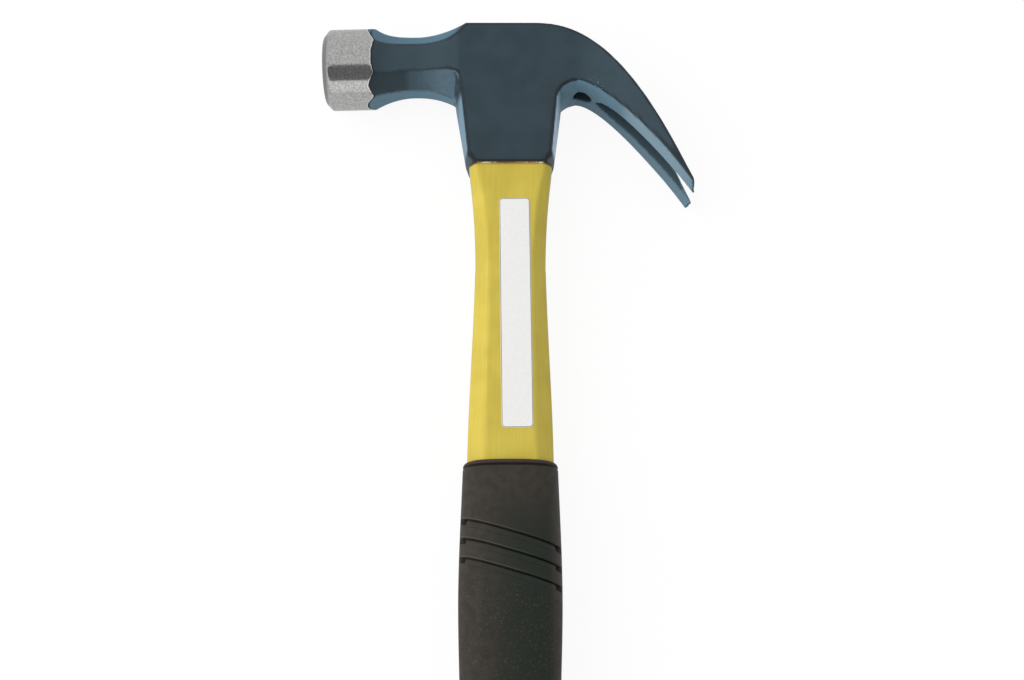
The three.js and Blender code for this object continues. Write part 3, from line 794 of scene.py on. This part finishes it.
def makeResin():
    # a profile of ten corners carried round the tenon: bead under the rim, then the sleeve in the eye
    angles = -turns(resin["columns"])
    bar = eightSided(*handleSizes(handle["shownTop"]), angles, handle["crispness"])[0]
    front = smoothStep(np.abs(np.sin(angles)), *resin["frontFrom"])
    uneven = resin["filletShare"] + resin["unevenness"] * ripple(angles, 5)
    bead = bar + resin["lap"] + resin["fillet"] * front * uneven
    inner = ovalReach(*handle["tenon"], angles)[0] + resin["tenonGap"]
    eye = ovalReach(*handle["eye"], angles)[0] - resin["eyeGap"]
    crownEye = eye + handle["eyeFlare"]
    low, top, bulge = resin["beadLow"], resin["beadTop"], resin["bulge"]
    lowEdge = low - resin["lowRipple"] - resin["lowRipple"] * ripple(angles, 9)
    profile = [
        (inner, low),
        (bar - resin["step"], low),
        (bar + bulge, lowEdge),
        ((bar + bead) / 2, (lowEdge + top) / 2 + bulge),
        (bead, top - 0.02),
        (bead - resin["step"], top),
        (eye, top),
        (crownEye, resin["sleeveTop"]),
        ((inner + crownEye) / 2, resin["sleeveTop"] - resin["sleeveDish"]),
        (inner, resin["sleeveTop"]),
    ]
    grid = np.stack([rings(y, reach, angles) for reach, y in profile])
    faces = gridFaces(*grid.shape[:2], closeRows=True)
    return makePiece("resinBead", place(grid.reshape(-1, 3)), faces, ["eye_epoxy"])


def resinFinish():
    made = Finish("amberResin", Roughness=resin["roughness"])
    blobs, normal = made.grain(*resin["blobs"])
    base = made.mottle(blobs, resin["brown"], resin["amber"], *resin["blobRange"])
    lumps, _ = made.grain(resin["lumps"], vector=made.stretched(resin["lumpStretch"]))
    off = made.math("ABSOLUTE", made.axes()["X"], 0.0)
    base = made.mix(made.ramp(off, *resin["cornerFrom"]), base, resin["corner"])
    cream = made.times(
        made.ramp(lumps, *resin["creamRange"]),
        made.ramp(off, *resin["creamFrom"]),
        made.ramp(off, *resin["creamEnd"]),
    )
    made.feed(made.mix(cream, base, resin["cream"]), "Base Color")
    made.feed(normal, "Normal")
    return made.material


makeResin().data.materials.append(resinFinish())
print("resin made")


# Grip

grip = {
    "columns": 232,
    "squareness": 2.7,
    "top": -101.6,
    "bottom": -278.7,
    "rimChamfer": 1.3,
    "rimStretch": 1.15,  # of the chamfer, lengthwise
    "stations": (-101.6, -141, -192, -262, -278.7),
    "halfWidths": (15.2, 16.3, 15.2, 17.8, 17.8),
    "halfThicknesses": (10.9, 12.7, 12.4, 13.9, 13.9),
    "buttRounding": 11,
    "buttTuck": 8.2,
    "rimRows": 7,
    "lineRows": 12,
    "leadRows": 22,
    "grooveRows": 190,
    "bodyRows": 80,
    "buttRows": 18,
    "grooves": 3,
    "firstGroove": -125.5,
    "groovePitch": 6.05,
    "grooveTilt": 16.4,
    "grooveWidth": 2.6,
    "grooveDepth": 0.45,
    "slitDepth": 0.85,  # how much deeper the groove is right under its upper edge
    "slitWidth": 0.62,
    "slitEdges": (0.2, 0.15),  # how softly it opens at both sides, and closes past its width
    "rampFrom": (0, 0.3),
    "creaseDepth": 0.15,  # thin line at the groove's lower edge
    "creaseWidth": 0.55,
    "grooveEnds": (0.955, 0.99),  # shares of the half width between which the grooves run out
    "notchDepth": 1.5,  # small square hollow near each end of a groove
    "notchHeight": 2.1,
    "notchSides": (0.865, 0.895, 0.965, 0.985),
    "lipRise": (-0.02, 0.06),  # painted highlight along the groove's upper edge: distances above that edge
    "lipFall": (0.2, 0.34),
    "lipSides": (-0.2, 0.75),  # shares of the half width between which the painted highlight fades out
    "rimLine": -103.4,  # thin groove under the rim
    "rimLineDepth": 0.35,
    "rimLineWidth": 0.5,
    "leanFade": 40,  # length below the grooves over which the rings turn level
    "mouth": 0.3,
    "mouthDepths": (-0.02, 0.6, 2, 8, 14, 22),
    "mouthShares": (0.5, 0.1, 0.1, 0.5, 1, 1, 1),  # of the mouth's clearance, down to the tang's end
    "rubber": (0.033, 0.027, 0.02),
    "rubberWorn": (0.043, 0.036, 0.028),
    "rubberPale": (0.105, 0.098, 0.08),
    "rubberShade": (0.014, 0.02, 0.013),
    # painted shade in the thin groove under the rim and in the notches
    "rubberLineShade": (0.006, 0.006, 0.005),
    "rimBrown": (0.05, 0.03, 0.028),
    "rimFrom": (-0.1, 0.2),
    "clouds": (0.35, 0.02),  # grains for each mm, and their depth
    "pebbles": (1.6, 0.2),
    "pebbleSpecks": (0.56, 0.68, 0.0, 0.34),
    "lipHighlightShare": 0.6,
    # painted shade, darker and greener: where it sets in and ends across, where it sets in along, and its
    # clouds
    "shadeFrom": (-11, 4),
    "shadeEnd": (14.4, 11.8),
    "shadeAlong": (-108, -128),
    "shadeClouds": (0.2, 0.5, 0.75, 1.0),
    "pebblesFade": 1.5,
    "roughness": (0.55, 0.65),  # above the pebbles and on them
    "gloss": 0.35,
}


def grooveInset(down):
    # depth at `down` mm below a groove's upper edge: a narrow slit, a long shallow ramp back out, a crease
    width, slit = grip["grooveWidth"], grip["slitWidth"]
    soft, past = grip["slitEdges"]
    deep = smoothStep(down, 0, soft) * (1 - smoothStep(down, slit - soft, slit + past))
    ramp = smoothStep(down, *grip["rampFrom"]) * np.clip(1 - down / width, 0, 1)
    crease = 1 - smoothStep(np.abs(down - width), 0.05, grip["creaseWidth"] / 2)
    return grip["slitDepth"] * deep + grip["grooveDepth"] * ramp + grip["creaseDepth"] * crease


def notchInset(down):
    # depth of the square hollow below the same edge
    height = grip["notchHeight"]
    opened = smoothStep(down, 0.1, 0.4) * (1 - smoothStep(down, height - 0.3, height))
    return grip["notchDepth"] * opened


def gripRows():
    # heights on the middle line, with each ring's slope, depth, notch, painted highlight at the groove's lip
    # and painted shade of the line: from rim to butt
    slope = math.tan(math.radians(grip["grooveTilt"]))
    chamfer = grip["rimChamfer"]
    corner = np.linspace(0, np.pi / 2, grip["rimRows"])
    rim = grip["top"] - chamfer * (1 - np.cos(corner)) * grip["rimStretch"]
    rimInset = chamfer * (1 - np.sin(corner))
    groovesTop = grip["firstGroove"] + grip["grooveWidth"]
    groovesEnd = grip["firstGroove"] - grip["grooves"] * grip["groovePitch"]
    fine = np.linspace(rim[-1], grip["rimLine"] - grip["rimLineWidth"], grip["lineRows"])[1:]
    lead = np.linspace(fine[-1], groovesTop, grip["leadRows"])[1:-1]
    grooved = np.linspace(groovesTop, groovesEnd, grip["grooveRows"])
    bodyEnd = grip["bottom"] + grip["buttRounding"]
    body = np.linspace(groovesEnd, bodyEnd, grip["bodyRows"])[1:]
    turn = np.linspace(0, np.pi / 2, grip["buttRows"])[1:]
    butt = bodyEnd - grip["buttRounding"] * np.sin(turn)
    heights = np.concatenate([rim, fine, lead, grooved, body, butt])
    slopes = slope * smoothStep(heights, grip["top"] - chamfer, groovesTop)
    slopes = slopes * smoothStep(heights, groovesEnd - grip["leanFade"], groovesEnd)
    edge = np.zeros_like(heights)
    edge[:len(rim)] = rimInset
    fromLine = np.abs(heights - grip["rimLine"]) / grip["rimLineWidth"]
    edge += grip["rimLineDepth"] * (1 - smoothStep(fromLine, 0.2, 1.0))
    edge[-len(turn):] = grip["buttTuck"] * (1 - np.cos(turn))
    tops = grip["firstGroove"] + grip["grooveWidth"] / 2 - np.arange(grip["grooves"]) * grip["groovePitch"]
    down = tops[:, None] - heights[None]
    lipHighlight = smoothStep(-down, *grip["lipRise"]) * (1 - smoothStep(-down, *grip["lipFall"]))
    return {
        "heights": heights,
        "slopes": slopes,
        "edge": edge,
        "groove": grooveInset(down).sum(axis=0),
        "notch": notchInset(down).sum(axis=0),
        "lipHighlight": lipHighlight.sum(axis=0),
        "line": 1 - smoothStep(fromLine, 0.5, 0.95),
    }


def roundedSquare(angles):
    # x and z of the unit rounded square: cosine and sine raised to one small power, with their signs kept
    power = 2 / grip["squareness"]
    return tuple(np.sign(v) * np.abs(v) ** power for v in (np.cos(angles), np.sin(angles)))


def gripSurface(rows, angles):
    # rounded-square rings on planes that lean along x, their half sizes read at the height where they pass
    heights, slopes = rows["heights"], rows["slopes"]
    across, up = roundedSquare(angles)
    lean = slopes[:, None] * across[None]
    read = heights[:, None] - lean * grip["halfWidths"][1]
    side = np.abs(across)
    start, full, fade, end = grip["notchSides"]
    notched = smoothStep(side, start, full) * (1 - smoothStep(side, fade, end))
    opened = 1 - smoothStep(side, *grip["grooveEnds"])
    inset = np.maximum(rows["groove"][:, None] * opened[None], rows["notch"][:, None] * notched[None])
    inset = inset + rows["edge"][:, None]
    halfWidth = through(grip["stations"], grip["halfWidths"], read) - inset
    halfThickness = through(grip["stations"], grip["halfThicknesses"], read) - inset
    lipHighlight = rows["lipHighlight"][:, None] * (1 - smoothStep(across, *grip["lipSides"]))[None]
    line = np.maximum(rows["line"][:, None], rows["notch"][:, None] * notched[None] / grip["notchDepth"])
    points = np.stack([across * halfWidth, heights[:, None] - lean * halfWidth, up * halfThickness], axis=-1)
    return points, lipHighlight, line


def evenTurns(columns):
    # angles that space the points of the rounded square evenly: equal steps of its arc length
    fine = np.linspace(0, 2 * np.pi, 4001)
    across, up = roundedSquare(fine)
    x = across * grip["halfWidths"][0]
    z = up * grip["halfThicknesses"][0]
    length = np.concatenate([[0], np.cumsum(np.hypot(np.diff(x), np.diff(z)))])
    return np.interp(np.arange(columns) / columns * length[-1], length, fine)


def makeGrip():
    # rings down inside the mouth to the tang's end, turned round, then the outside from rim to butt
    angles = evenTurns(grip["columns"])
    outside, lipHighlight, line = gripSurface(gripRows(), angles)
    outline = outside[0]
    inward = np.arctan2(outline[:, 2], outline[:, 0])
    mouthHeights = np.array([*(grip["top"] - np.array(grip["mouthDepths"])), handle["tangEnd"]])
    reach = eightSided(*handleSizes(mouthHeights), inward, handle["crispness"])
    reach = reach + grip["mouth"] * np.array(grip["mouthShares"])[:, None]
    inside = rings(mouthHeights[:, None], reach, inward)
    points, faces = closedGrid(np.concatenate([inside[::-1], outside]))
    piece = makePiece("gripSleeve", place(points), faces, ["grip"])
    hidden = np.zeros(len(inside) * grip["columns"])
    for name, values in (("lipHighlight", lipHighlight), ("line", line)):
        putAttribute(piece.data, name, np.concatenate([hidden, values.ravel(), [0, 0]]))
    return piece


def gripFinish():
    made = Finish("blackRubber", Specular_IOR_Level=grip["gloss"])
    slope = math.tan(math.radians(grip["grooveTilt"]))
    across, along, _ = made.axes()
    level = made.math("ADD", along, made.times(across, slope))
    edge = grip["firstGroove"] - (grip["grooves"] - 1) * grip["groovePitch"] - grip["grooveWidth"]
    pebbled = made.ramp(level, edge, edge - grip["pebblesFade"])
    clouds, cloudNormal = made.grain(*grip["clouds"], detail=5)
    pebbles, pebbleNormal = made.grain(*grip["pebbles"], after=cloudNormal)
    made.feed(made.mix(pebbled, cloudNormal, pebbleNormal, "VECTOR"), "Normal")
    # colour: brown-black, with greener painted shade right of the middle below the rim, specks on the
    # pebbles, a painted highlight along the grooves and painted shade in the rim line
    base = made.mottle(clouds, grip["rubber"], grip["rubberWorn"])
    # painted shade right of the middle below the rim
    deep = made.times(
        made.ramp(across, *grip["shadeFrom"]),
        made.ramp(across, *grip["shadeEnd"]),
        made.ramp(along, *grip["shadeAlong"]),
        made.ramp(clouds, *grip["shadeClouds"]),
    )
    base = made.mix(deep, base, grip["rubberShade"])
    specks = made.times(made.ramp(pebbles, *grip["pebbleSpecks"]), pebbled)
    base = made.mix(specks, base, grip["rubberPale"])
    # painted highlight along each groove's upper edge
    lipHighlight = made.times(made.attribute("lipHighlight"), grip["lipHighlightShare"])
    base = made.mix(lipHighlight, base, grip["rubberPale"])
    rim = made.ramp(along, *(grip["rimLine"] + v for v in grip["rimFrom"]))
    base = made.mix(rim, base, grip["rimBrown"])
    # painted shade in the rim line and the notches
    base = made.mix(made.attribute("line"), base, grip["rubberLineShade"])
    made.feed(base, "Base Color")
    made.feed(made.ramp(pebbled, 0, 1, *grip["roughness"]), "Roughness")
    return made.material


gripPiece = makeGrip()
gripPiece.data.materials.append(gripFinish())
print("grip made,", len(gripPiece.data.polygons), "faces")


# Label

label = {
    "width": 10.2,
    "length": 78.3,
    "thickness": 0.16,
    "top": -13,
    "offset": 1.8,
    "lean": 0.7,
    "corner": 1.3,
    "topInsets": (3.0, 1.2),  # of the rings from the middle out
    "edgeInsets": (0.5, 0.05, 10),  # of the rings near the edge: from, to and how many
    "edgeLifts": (0.096, 0.03),  # of the two rings down the edge
    "underInset": 0.1,
    "clearance": 0.02,
    "leastCorner": 0.15,
    "border": (0.12, 0.34),  # where the dark line at the edge starts and ends
    "film": (0.955, 0.95, 0.935),
    "line": (0.16, 0.14, 0.07),
    "dust": (0.8, 0.004),  # grains for each mm, and their depth
    "dustShade": 0.97,
    "roughness": 0.3,
}


def roundedOutline(inset, arcSteps=9):
    # rounded rectangle drawn in from the label's edge by `inset`: four quarter arcs and straight runs,
    # clockwise, so that the faces look outward
    radius = np.maximum(label["corner"] - inset, label["leastCorner"])
    centreX = label["width"] / 2 - inset - radius
    centreY = label["length"] / 2 - inset - radius
    arc = np.linspace(0, np.pi / 2, arcSteps)
    quarters = np.arange(4) * np.pi / 2
    turn = (quarters[:, None] + arc[None]).ravel()
    signX = np.repeat([1, -1, -1, 1], arcSteps)
    signY = np.repeat([1, 1, -1, -1], arcSteps)
    x = signX * centreX[:, None] + radius[:, None] * np.cos(turn)
    y = signY * centreY[:, None] + radius[:, None] * np.sin(turn)
    return x[:, ::-1], y[:, ::-1]


def onHandle(x, y, lift):
    # the handle's front surface at (x, y), plus a lift
    angles = np.arctan2(handle["halfThickness"], x.ravel())
    reach = facetReach(*handleSizes(y.ravel()), angles, handle["crispness"])
    return (reach * np.sin(angles)).reshape(x.shape) + lift


def makeLabel():
    # outlines from the middle of the top to its edge, down it and back under, each laid on the handle
    top = [*label["topInsets"], *np.linspace(*label["edgeInsets"])]
    insets = np.array([*top, 0.0, 0.0, label["underInset"], top[0]])
    lifts = np.array([*[label["thickness"]] * len(top), *label["edgeLifts"], *[label["clearance"]] * 2])
    x, y = roundedOutline(insets)
    lean = math.radians(label["lean"])
    middleY = label["top"] - label["length"] / 2
    turnedX = label["offset"] + x * math.cos(lean) - y * math.sin(lean)
    turnedY = middleY + x * math.sin(lean) + y * math.cos(lean)
    z = onHandle(turnedX, turnedY, lifts[:, None])
    points, faces = closedGrid(np.stack([turnedX, turnedY, z], axis=-1))
    piece = makePiece("labelFilm", place(points), faces, ["label"])
    low, high = label["border"]
    inLine = (insets > low) & (insets < high)
    putAttribute(piece.data, "line", np.concatenate([np.repeat(inLine, x.shape[1]), [False, False]]))
    return piece


def labelFinish():
    made = Finish("whiteFilm", Roughness=label["roughness"])
    dust, normal = made.grain(*label["dust"])
    film = made.mottle(dust, tuple(label["dustShade"] * v for v in label["film"]), label["film"])
    made.feed(made.mix(made.attribute("line"), film, label["line"]), "Base Color")
    made.feed(normal, "Normal")
    return made.material


makeLabel().data.materials.append(labelFinish())
print("label made")


# Floor, background and light

studio = {
    "floorHalf": 3.0,
    "floor": (0.86, 0.86, 0.86, 1),
    "floorRoughness": 0.9,
    "floorGloss": 0.1,
    "white": 1.04,
    "shadowShare": 0.12,  # how much of the lit floor shows through the white
    "floorMirrored": 0.62,  # the floor's brightness in the steel and the paint
    "level": 0.72,  # light from every side
    "leaning": 0.31,  # how much more of it comes from the left and less from the right
    # what gloss mirrors overhead: degrees from straight up towards the crown, brightness from there on
    "mirrored": ((-180, 0.85), (-90, 0.85), (-57, 0.16), (-12, 0.64), (84, 0.66), (90, 1.0)),
    "softbox": {"aim": (0, -50, 0), "offset": (-0.92, 0.05, 0.66), "size": 1.4, "power": 6.2},
}


def backgroundRays(graph):
    # one for camera, glossy and transmission rays; and one for camera rays alone
    path = graph.add("ShaderNodeLightPath").outputs
    shown = graph.math("MAXIMUM", path["Is Camera Ray"], path["Is Glossy Ray"])
    return graph.math("MAXIMUM", shown, path["Is Transmission Ray"]), path["Is Camera Ray"]


def addWorld():
    # white to the camera, bands of light and dark to gloss, soft light that leans to the left to the rest
    world = bpy.data.worlds.new("studio")
    bpy.context.scene.world = world
    world.use_nodes = True
    graph = Graph(world.node_tree)
    ray = graph.add("ShaderNodeTexCoord")
    parts = graph.add("ShaderNodeSeparateXYZ")
    graph.link(ray.outputs["Generated"], parts.inputs["Vector"])
    x, y, z = parts.outputs
    soft = graph.math("MULTIPLY_ADD", x, -studio["leaning"], studio["level"])
    share = graph.add("ShaderNodeMapRange", From_Min=-math.pi, From_Max=math.pi)
    graph.link(graph.math("ARCTAN2", y, z), share.inputs["Value"])
    bands = graph.add("ShaderNodeValToRGB")
    ramp = bands.color_ramp
    ramp.interpolation = "CONSTANT"
    while len(ramp.elements) < len(studio["mirrored"]):
        ramp.elements.new(1.0)
    for element, (angle, light) in zip(ramp.elements, studio["mirrored"]):
        element.position = (angle + 180) / 360
        element.color = (light, light, light, 1)
    graph.link(share.outputs["Result"], bands.inputs["Fac"])
    seen, camera = backgroundRays(graph)
    mirrored = graph.mix(camera, bands.outputs["Color"], 1.0, "FLOAT")
    light = graph.mix(seen, soft, mirrored, "FLOAT")
    graph.link(light, graph.tree.nodes["Background"].inputs["Color"])


def addFloor():
    # one square, mostly white to what sees it and plain to the rest, so that it keeps a faint shadow
    half = studio["floorHalf"]
    mesh = bpy.data.meshes.new("floor")
    corners = [(-half, -half, 0), (half, -half, 0), (half, half, 0), (-half, half, 0)]
    mesh.from_pydata(corners, [], [(0, 1, 2, 3)])
    floor = addObject("floor", mesh)
    made = Finish(
        "paleFloor",
        Base_Color=studio["floor"],
        Roughness=studio["floorRoughness"],
        Specular_IOR_Level=studio["floorGloss"],
    )
    seen, camera = backgroundRays(made)
    white = made.add("ShaderNodeEmission")
    strength = made.mix(camera, studio["floorMirrored"], studio["white"], "FLOAT")
    made.link(strength, white.inputs["Strength"])
    both = made.add("ShaderNodeMixShader")
    share = made.times(seen, 1 - studio["shadowShare"])
    made.put(both.inputs, (share, made.shader.outputs["BSDF"], white.outputs["Emission"]))
    made.link(both.outputs["Shader"], made.tree.nodes["Material Output"].inputs["Surface"])
    floor.data.materials.append(made.material)


def addSoftbox():
    # large square lamp at the left, turned to the middle of the hammer; gloss doesn't mirror it
    softbox = studio["softbox"]
    lamp = bpy.data.lights.new("softbox", "AREA")
    lamp.shape = "SQUARE"
    lamp.size = softbox["size"]
    lamp.energy = softbox["power"]
    box = addObject("softbox", lamp)
    x, y, z = softbox["offset"]
    box.location = place(softbox["aim"]) + np.array([x, y, z])
    yaw = math.atan2(-y, -x)
    pitch = math.atan2(-z, math.hypot(x, y))
    box.rotation_euler = (math.pi / 2 + pitch, 0, yaw - math.pi / 2)
    box.visible_glossy = False


bpy.context.scene.view_settings.view_transform = "Standard"
addWorld()
addFloor()
addSoftbox()
print("studio set")
